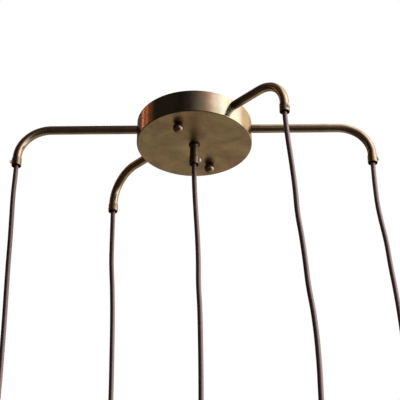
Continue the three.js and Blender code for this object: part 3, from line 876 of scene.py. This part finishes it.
class LAMP_OT_lampholders(LampPieces, Operator):
    """Turns the five lampholders: cap, shell, porcelain core, screw shell and contact"""

    bl_idname = "lamp.lampholders"
    bl_label = "Lampholders"

    def build(self, sizes):
        for place in PLACES:
            for name, shape, material, slot, *nodes in (
                    ("lamp_cap", cap, "buffed_aged_brass", "aged_brass_holder", f"holder_cap_{place}"),
                    ("lamp_shell", shell, "buffed_aged_brass", "aged_brass_holder", f"holder_shell_{place}"),
                    ("lamp_core", core, "glazed_porcelain", "porcelain", f"holder_core_{place}"),
                    ("screw_shell", screw_shell, "stamped_brass", "aged_brass_holder"),
                    ("contact", contact, "stamped_brass", "aged_brass_holder")):
                add_piece(f"{name}_{place}", moved(shape(sizes), upright_at(foot_of(place))), material, slot,
                          *nodes, body=f"pendant_{place}")


class LAMP_OT_canopy(LampPieces, Operator):
    """Spins the drum canopy"""

    bl_idname = "lamp.canopy"
    bl_label = "Canopy"

    def build(self, sizes):
        r, low, wall = sizes.canopy_diameter / 2, -sizes.canopy_height, sizes.canopy_wall
        hole, inside = sizes.neck_diameter / 2 + GAP, r - wall
        drum = turned([
            (hole, low), (r * 0.45, low), (r, low, sizes.canopy_edge), (r, 0, 0.35 * MM),
            (inside, 0, 0.35 * MM), (inside, low + wall, 0.6 * MM), (hole, low + wall)], 192)
        canopy = add_piece("spun_canopy", drum, "spun_aged_brass", "aged_brass_canopy", "canopy_shell")
        refinish(canopy, looks_down, "rubbed_aged_brass")


def bent_tube(sizes, reach):
    """A drawn tube along X: a threaded neck, a shoulder, the straight, one bend and a short tail."""
    r, neck, rounding, root = sizes.tube_diameter / 2, sizes.neck_diameter / 2, 0.2 * MM, 0.93
    shoulder = sizes.canopy_diameter / 2 + GAP
    level, bend = -sizes.arm_drop, sizes.bend_radius
    turns, half_pitch = 8, 0.5 * MM
    bm = bmesh.new()
    start = at(shoulder - (turns * 2 + 1) * half_pitch, 0, level) @ turn(90, "Y")
    bmesh.ops.create_circle(bm, segments=40, radius=root * neck, matrix=start)

    def extended(offset, scale=1.0):
        """Draws the tube's open end on by an offset and to a new width."""
        new = bmesh.ops.extrude_edge_only(bm, edges=end)["geom"]
        verts = verts_in(new)
        bmesh.ops.translate(bm, verts=verts, vec=offset)
        if scale != 1:
            middle = sum((vert.co for vert in verts), Vector()) / len(verts)
            bmesh.ops.scale(bm, vec=(scale,) * 3, verts=verts, space=Matrix.Translation(-middle))
        return edges_in(new)

    end = bm.edges[:]
    for _ in range(turns):
        end = extended((half_pitch, 0, 0), 1 / root)
        end = extended((half_pitch, 0, 0), root)
    end = extended((half_pitch, 0, 0), 1 / root)
    end = extended((0, 0, 0), (r - rounding) / neck)
    end = extended((rounding, 0, 0), r / (r - rounding))
    straight = reach - bend - shoulder - rounding
    pieces = max(1, round(straight / (12 * MM)))
    for _ in range(pieces):
        end = extended((straight / pieces, 0, 0))
    spun = bmesh.ops.spin(bm, geom=end, cent=(reach - bend, 0, level - bend), axis=(0, 1, 0),
                          angle=math.pi / 2, steps=28)
    end = edges_in(spun["geom_last"])
    end = extended((0, 0, -(sizes.tube_end + level - bend)))
    bmesh.ops.solidify(outwards(bm), geom=bm.faces[:], thickness=1.5 * MM)
    return bm


def stem(sizes):
    """A short straight tube under the canopy, its neck through the washer."""
    r, neck, bore = sizes.tube_diameter / 2, sizes.neck_diameter / 2, 3.5 * MM
    seat = -sizes.canopy_height - 1.4 * MM
    top, low = -sizes.canopy_height + 8.2 * MM, -sizes.tube_end
    return turned([
        (bore, low), (r, low, 0.3 * MM), (r, seat, 0.2 * MM), (neck, seat), (neck, top, 0.3 * MM),
        (bore, top)], 48)


class LAMP_OT_arms(LampPieces, Operator):
    """Bends the four arms and makes the stem with its washer"""

    bl_idname = "lamp.arms"
    bl_label = "Arms and stem"

    def build(self, sizes):
        for place in ARMS:
            tube = moved(bent_tube(sizes, reach_of(sizes, place)), along_arm(place))
            add_piece(f"bent_arm_{place}", tube, "drawn_aged_brass", "aged_brass_tube", f"arm_{place}",
                      sharp=50)
        add_piece("stem_tube", stem(sizes), "lathe_turned_brass", "aged_brass_tube", "stem_centre")
        low, top = -sizes.canopy_height - 1.3 * MM, -sizes.canopy_height - GAP
        bore, r = 4.5 * MM, 6.5 * MM
        washer = turned([(bore, low), (r, low, 0.4 * MM), (r, top, 0.3 * MM), (bore, top)], 48)
        # The washer is painted nearly black: painted shade in the joint between the stem and the canopy
        add_piece("turned_washer", washer, "blackened_brass", "aged_brass_tube", "stem_washer")


def sleeve(sizes):
    """A sleeve with a spigot up into the tube and a wide mouth below."""
    r, wide, spigot, bore = sizes.grip_diameter / 2, 4.4 * MM, 3.8 * MM, 3.1 * MM
    mouth = -sizes.mouth_depth
    step, shoulder, top = (mouth + rise * MM for rise in (3.1, 10.4, 14))
    return turned([
        (wide, mouth, 0.25 * MM), (r, mouth, 0.6 * MM), (r, shoulder, 0.4 * MM), (spigot, shoulder),
        (spigot, top, 0.2 * MM), (bore, top), (bore, step), (wide, step)], sizes.turn_steps)


def set_screw():
    """A domed screw along X, with a slot across its head."""
    seat, tip, top, shank, head = 5.9 * MM, 3.1 * MM, 8.3 * MM, 1.4 * MM, 2.3 * MM
    screw = turned([
        (0, tip), (shank, tip, 0.2 * MM), (shank, seat), (head, seat, 0.3 * MM),
        (head, seat + 1.1 * MM, 0.5 * MM), (1.5 * MM, top - 0.25 * MM, 0.8 * MM), (0, top)], 32)
    return moved(cut_away(screw, box((0.8 * MM, 6 * MM, 1.8 * MM), (0, 0, top))), turn(90, "Y"))


class LAMP_OT_grips(LampPieces, Operator):
    """Turns the five cord grips and their clear set screws"""

    bl_idname = "lamp.grips"
    bl_label = "Cord grips"

    def build(self, sizes):
        for place in PLACES:
            middle = exit_of(place)
            stand = upright_at(middle)
            grip = add_piece(f"turned_grip_{place}", moved(sleeve(sizes), stand), "lathe_turned_brass",
                             "aged_brass_turned", f"cord_grip_{place}")
            # The inside of each grip's mouth and its downward faces are painted nearly black as painted shade
            refinish(
                grip, lambda face: (face.center.xy - middle.xy).length < 4.45 * MM or looks_down(face),
                "blackened_brass")
            outward = stand @ along_arm(place) @ at(0, 0, -sizes.mouth_depth + 6.2 * MM)
            name = f"set_screw_{place}"
            add_piece(f"nylon_screw_{place}", moved(set_screw(), outward), "moulded_nylon", "clear_nylon",
                      name, body=name)


def ball(sizes):
    """A ball with a flat seat and a blind hole for its stud."""
    r, seat, flat, bore = sizes.ball_diameter / 2, -sizes.canopy_height - GAP, 3.5, 2.4
    bm = bmesh.new()
    middle = seat - math.sqrt(r * r - (flat * MM) * (flat * MM))
    bmesh.ops.create_uvsphere(bm, u_segments=48, v_segments=32, radius=r, matrix=at(0, 0, middle))
    bmesh.ops.bisect_plane(bm, geom=bm.verts[:] + bm.edges[:] + bm.faces[:], dist=0.001 * MM,
                           plane_co=(0, 0, seat), plane_no=(0, 0, 1), clear_outer=True)
    rim = [edge for edge in bm.edges if edge.is_boundary]
    for scale, drop in ((bore / flat, 0), (1, 7.8 * MM)):
        new = bmesh.ops.extrude_edge_only(bm, edges=rim)["geom"]
        verts, rim = verts_in(new), edges_in(new)
        bmesh.ops.scale(bm, vec=(scale, scale, 1), verts=verts)
        bmesh.ops.translate(bm, verts=verts, vec=(0, 0, -drop))
    bmesh.ops.holes_fill(bm, edges=rim, sides=0)
    return outwards(bm)


class LAMP_OT_ball_nuts(LampPieces, Operator):
    """Turns the two ball nuts that hold the canopy up"""

    bl_idname = "lamp.ball_nuts"
    bl_label = "Ball nuts"

    def build(self, sizes):
        for place, side in (("far", 1), ("near", -1)):
            shape = moved(ball(sizes), along_crossbar(sizes, side * sizes.stud_spacing / 2))
            name = f"ball_nut_{place}"
            add_piece(f"ball_{place}", shape, "buffed_aged_brass", "aged_brass_holder", name, body=name)


def strap(sizes):
    """A flat strap with stamped edges, two slots for the box screws and four holes."""
    low, stud = -sizes.crossbar_thickness, sizes.stud_spacing / 2
    plate = stadium(sizes.crossbar_length, sizes.crossbar_width, low, 0)
    soften(plate, [edge for edge in plate.edges if is_level(edge)], 0.25 * MM, 2)
    cuts = []
    for distance, length, across in (
            (stud, 4.8, 4.8), (-stud, 4.8, 4.8), (BOX_SCREW, 8, 4.8), (-BOX_SCREW, 8, 4.8),
            (BLOCK_SCREW, 3.8, 3.8), (GROUND_SCREW, 4.2, 4.2)):
        hole = stadium(length * MM, across * MM, low - 1 * MM, 1 * MM)
        cuts.append(moved(hole, at(distance, 0, 0)))
    return cut_away(plate, *cuts)


class LAMP_OT_mounting(LampPieces, Operator):
    """Makes the crossbar on the ceiling box, the studs, the screws and every nut inside the canopy"""

    bl_idname = "lamp.mounting"
    bl_label = "Crossbar and fastenings"

    def build(self, sizes):
        under = -sizes.crossbar_thickness - GAP
        block_low = under - sizes.block_height

        def fasten(name, shape, distance, node, material="zinc_plated_steel", slot="zinc_steel"):
            """Puts a piece at a distance along the crossbar."""
            add_piece(name, moved(shape, along_crossbar(sizes, distance)), material, slot, node)

        fasten("flat_crossbar", strap(sizes), 0, "crossbar")
        for place, side in (("far", 1), ("near", -1)):
            at_stud = side * sizes.stud_spacing / 2
            stud = turned(rod_profile(2.1 * MM, 0, -sizes.canopy_height - 7.8 * MM, 0.8 * MM), 32)
            nut = hex_nut(7.9 * MM, 4.8 * MM, under - 3 * MM, under)
            screw = pan_screw(2.1 * MM, 4.1 * MM, 2.6 * MM, under, 7 * MM, 0.8 * MM)
            fasten(f"threaded_stud_{place}", stud, at_stud, f"stud_{place}")
            fasten(f"nut_on_stud_{place}", nut, at_stud, f"stud_nut_{place}")
            fasten(f"ceiling_screw_{place}", screw, side * BOX_SCREW, f"box_screw_{place}")
        clamp = pan_screw(1.6 * MM, 3 * MM, 2.2 * MM, block_low - GAP, 0, 0.6 * MM)
        fasten("clamp_screw", clamp, BLOCK_SCREW, "block_screw")
        ground = pan_screw(1.8 * MM, 3.4 * MM, 2.4 * MM, under, 0, 0.7 * MM)
        fasten("earth_screw", ground, GROUND_SCREW, "ground_screw", "green_dyed_steel", "green_steel")
        laid = at(0, 0, -sizes.arm_drop) @ turn(-90, "Y")
        wall = -sizes.canopy_diameter / 2 + sizes.canopy_wall + 0.67 * MM
        for place in PLACES:
            seat, stand = (wall, along_arm(place) @ laid) if place in ARMS else (
                -sizes.canopy_height + 1.5 * MM, Matrix())
            nut = moved(hex_nut(12 * MM, 9 * MM, seat, seat + 3 * MM), stand)
            add_piece(f"neck_nut_{place}", nut, "zinc_plated_steel", "zinc_steel", f"lock_nut_{place}")


def arm_route(sizes, place, start):
    """From a grip's mouth up the tail, round the bend and along the tube to the block's side."""
    reach, r, level = reach_of(sizes, place), sizes.bend_radius, -sizes.arm_drop
    slant = math.radians(ARMS[place]) - sizes.stud_azimuth + math.pi / 2
    side = sizes.block_width / 2 + GAP + sizes.cord_diameter / 2 * abs(math.sin(slant))
    end = side / abs(math.cos(slant))
    points = [Vector((reach, 0, start))]
    points += [Vector((reach - r + r * math.cos(angle), 0, level - r + r * math.sin(angle)))
               for angle in (math.radians(step) for step in range(0, 91, 10))]
    straight = reach - r - end
    points += [Vector((reach - r - straight * part / 6, 0, level)) for part in range(1, 7)]
    return [along_arm(place) @ point for point in points]


def block(sizes, low, high):
    """A pressed block with rounded edges, a hole for its screw and a dimple round each lead's way in."""
    bm = box((sizes.block_length, sizes.block_width, high - low), (0, 0, (low + high) / 2))
    soften(bm, bm.edges[:], 1.5 * MM, 4)
    hole, dimple, aside = 3.8 * MM, 4.4 * MM, 4.15 * MM
    cuts = [moved(stadium(hole, hole, low - 1 * MM, high + 1 * MM), at(BLOCK_SCREW, 0, 0))]
    for across in (-1, 1):
        for along in (-aside, aside):
            place = at(along, across * (sizes.block_width / 2 + 2.8 * MM), -sizes.arm_drop)
            cuts.append(moved(stadium(dimple, dimple, 0, 4 * MM), place @ turn(across * 90, "X")))
    cuts.append(stadium(dimple, dimple, low - 1 * MM, low + 1.2 * MM))
    return cut_away(bm, *cuts)


class LAMP_OT_junction(LampPieces, Operator):
    """Makes the porcelain junction block, the five inner leads and their ferrules"""

    bl_idname = "lamp.junction"
    bl_label = "Junction block and leads"

    def build(self, sizes):
        block_high = -sizes.crossbar_thickness - GAP
        block_low = block_high - sizes.block_height
        shape = moved(block(sizes, block_low, block_high), along_crossbar(sizes, 0))
        add_piece("porcelain_block", shape, "glazed_porcelain", "porcelain", "junction_block")
        start = -sizes.mouth_depth + 3.1 * MM
        for place in PLACES:
            if place == "centre":
                points = [Vector((0, 0, z)) for z in (start, -40 * MM, -28 * MM, block_low - GAP)]
                inward = Vector((0, 0, 1))
            else:
                points = arm_route(sizes, place, start)
                inward = (points[-1] - points[-2]).normalized()
            lead = cloth_tube(points, sizes.cord_diameter / 2)[0]
            add_piece(f"inner_lead_{place}", lead, "rayon_braid", "cloth_cord", f"lead_{place}")
            bore, r, low, high = 1.1 * MM, 1.7 * MM, -1.5 * MM, 1.6 * MM
            ring = turned([(bore, low), (r, low), (r, high, 0.2 * MM), (bore, high, 0.1 * MM)], 24)
            stand = Matrix.Translation(points[-1]) @ inward.to_track_quat("Z", "Y").to_matrix().to_4x4()
            add_piece(f"ferrule_{place}", moved(ring, stand), "stamped_brass", "aged_brass_turned")


class LAMP_PT_panel(Panel):
    """Lists the lamp's pieces and settings"""

    bl_idname = "LAMP_PT_panel"
    bl_label = "Cluster pendant lamp"
    bl_space_type = "VIEW_3D"
    bl_region_type = "UI"
    bl_category = "Lamp"

    def draw(self, context):
        layout = self.layout
        for operator in OPERATORS:
            layout.operator(operator.bl_idname)
        for setting, group in SETTINGS.items():
            panel_box = layout.box()
            for name in group.__annotations__:
                label = name.replace("_", " ").capitalize()
                panel_box.prop(getattr(context.scene, setting), name, text=label)


OPERATORS = (LAMP_OT_stage, LAMP_OT_lampholders, LAMP_OT_cords, LAMP_OT_canopy, LAMP_OT_arms, LAMP_OT_grips,
             LAMP_OT_ball_nuts, LAMP_OT_mounting, LAMP_OT_junction)
SETTINGS = {"lamp_sizes": LampSizes, "lamp_finishes": LampFinishes, "lamp_studio": LampStudio}
CLASSES = (*SETTINGS.values(), *OPERATORS, LAMP_PT_panel)


def register():
    for item in CLASSES:
        bpy.utils.register_class(item)
    for name, group in SETTINGS.items():
        setattr(bpy.types.Scene, name, PointerProperty(type=group))


def unregister():
    for name in SETTINGS:
        delattr(bpy.types.Scene, name)
    for item in reversed(CLASSES):
        bpy.utils.unregister_class(item)


def main():
    register()
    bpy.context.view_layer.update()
    for operator in OPERATORS:
        getattr(bpy.ops.lamp, operator.bl_idname.removeprefix("lamp."))()


if __name__ == "__main__":
    main()
